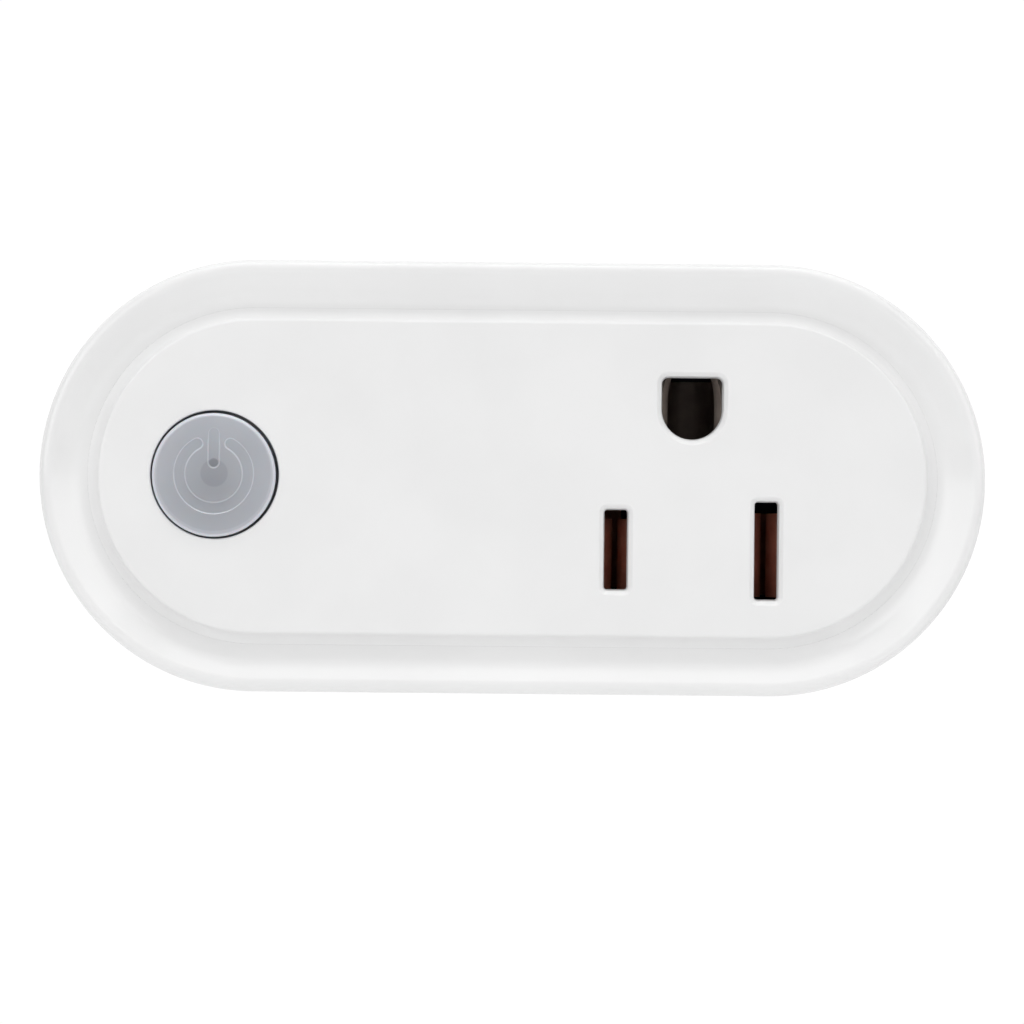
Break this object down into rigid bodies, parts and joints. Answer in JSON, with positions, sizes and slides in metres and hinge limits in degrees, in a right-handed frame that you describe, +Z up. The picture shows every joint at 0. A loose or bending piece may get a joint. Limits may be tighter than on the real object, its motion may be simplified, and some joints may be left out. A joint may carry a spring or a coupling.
{
  "type": "smart plug",
  "caption": "Oval smart plug with one grounded outlet, a round power button in a flush face plate, a dished glossy rim and plug blades on its back.",
  "frame": {"origin": "middle of the oval outline on the flat rear face that rests on the wall plate", "axes": "+X to the right seen from the outlet side, along the long side; +Y into the wall, along the blades; +Z up, towards the ground pin's side of the outlet"},
  "size_m": [0.0798, 0.0506, 0.0364],
  "materials": {
    "satin_white": "fine satin texture",
    "gloss_white": "polished",
    "grey_silicone": "smooth translucent silicone",
    "black_plastic": "moulded",
    "bronze": "bare phosphor bronze strip",
    "nickel": "nickel plated",
    "zinc_steel": "zinc plated",
    "tinned_steel": "tin plated",
    "board_green": "solder mask over glass-epoxy board",
    "copper_wire": "enamelled copper wire",
    "yellow_tape": "polyester",
    "ferrite": "dark ferrite or sleeve",
    "blue_plastic": "moulded or dipped",
    "cream_plastic": "moulded",
    "label_film": "printed film, blank",
    "led_lens": "clear epoxy over phosphor"
  },
  "bodies": {
    "housing": {"front_plate": "satin_white", "front_housing": "gloss_white", "rear_housing": "gloss_white", "rating_label": "label_film", "switch_cover": "tinned_steel", "switch_base": "black_plastic", "switch_dome": "tinned_steel", "contact_block": "black_plastic", "line_contact": "bronze", "neutral_contact": "bronze", "ground_contact": "bronze", "line_blade": "nickel", "neutral_blade": "nickel", "ground_pin": "nickel", "blade_retainer": "black_plastic", "main_board": "board_green", "control_board": "board_green", "board_header": "black_plastic", "wifi_board": "board_green", "wifi_shield": "tinned_steel", "status_led": "led_lens", "relay_cover": "blue_plastic", "relay_base": "black_plastic", "relay_pole": "zinc_steel", "relay_bobbin": "cream_plastic", "relay_winding": "copper_wire", "relay_yoke": "zinc_steel", "relay_fixed_contact": "bronze", "transformer_core": "ferrite", "transformer_bobbin": "black_plastic", "transformer_winding": "yellow_tape", "bulk_capacitor": "ferrite", "output_capacitor": "ferrite", "x_capacitor": "yellow_tape", "surge_varistor": "blue_plastic", "fuse": "cream_plastic", "choke_core": "ferrite", "choke_winding": "copper_wire", "bridge_rectifier": "black_plastic", "supply_controller": "black_plastic", "housing_screw_1": "zinc_steel", "housing_screw_2": "zinc_steel", "housing_screw_3": "zinc_steel", "housing_screw_4": "zinc_steel", "control_board_screw_1": "zinc_steel", "control_board_screw_2": "zinc_steel"},
    "button": {"power_button": "grey_silicone"},
    "plunger": {"switch_plunger": "cream_plastic"},
    "armature": {"relay_armature": "zinc_steel", "relay_contact_leaf": "bronze"}
  },
  "joints": [
    {"name": "button_press", "type": "slide", "parent": "housing", "child": "button", "axis": [0, 1, 0], "range_m": [0, 0.0005], "stiffness_N_per_m": 1500, "springref_m": -0.0003},
    {"name": "plunger_press", "type": "slide", "parent": "housing", "child": "plunger", "axis": [0, 1, 0], "range_m": [0, 0.0005]},
    {"name": "armature_pull", "type": "hinge", "parent": "housing", "child": "armature", "pos_m": [-0.00612, -0.0216, -0.0073], "axis": [-1, 0, 0], "range_deg": [0, 3.2], "stiffness_Nm_per_rad": 0.02, "springref_deg": -1.72}
  ],
  "couplings": [
    {"joint": "plunger_press", "follows": "button_press", "ratio": 1}
  ]
}
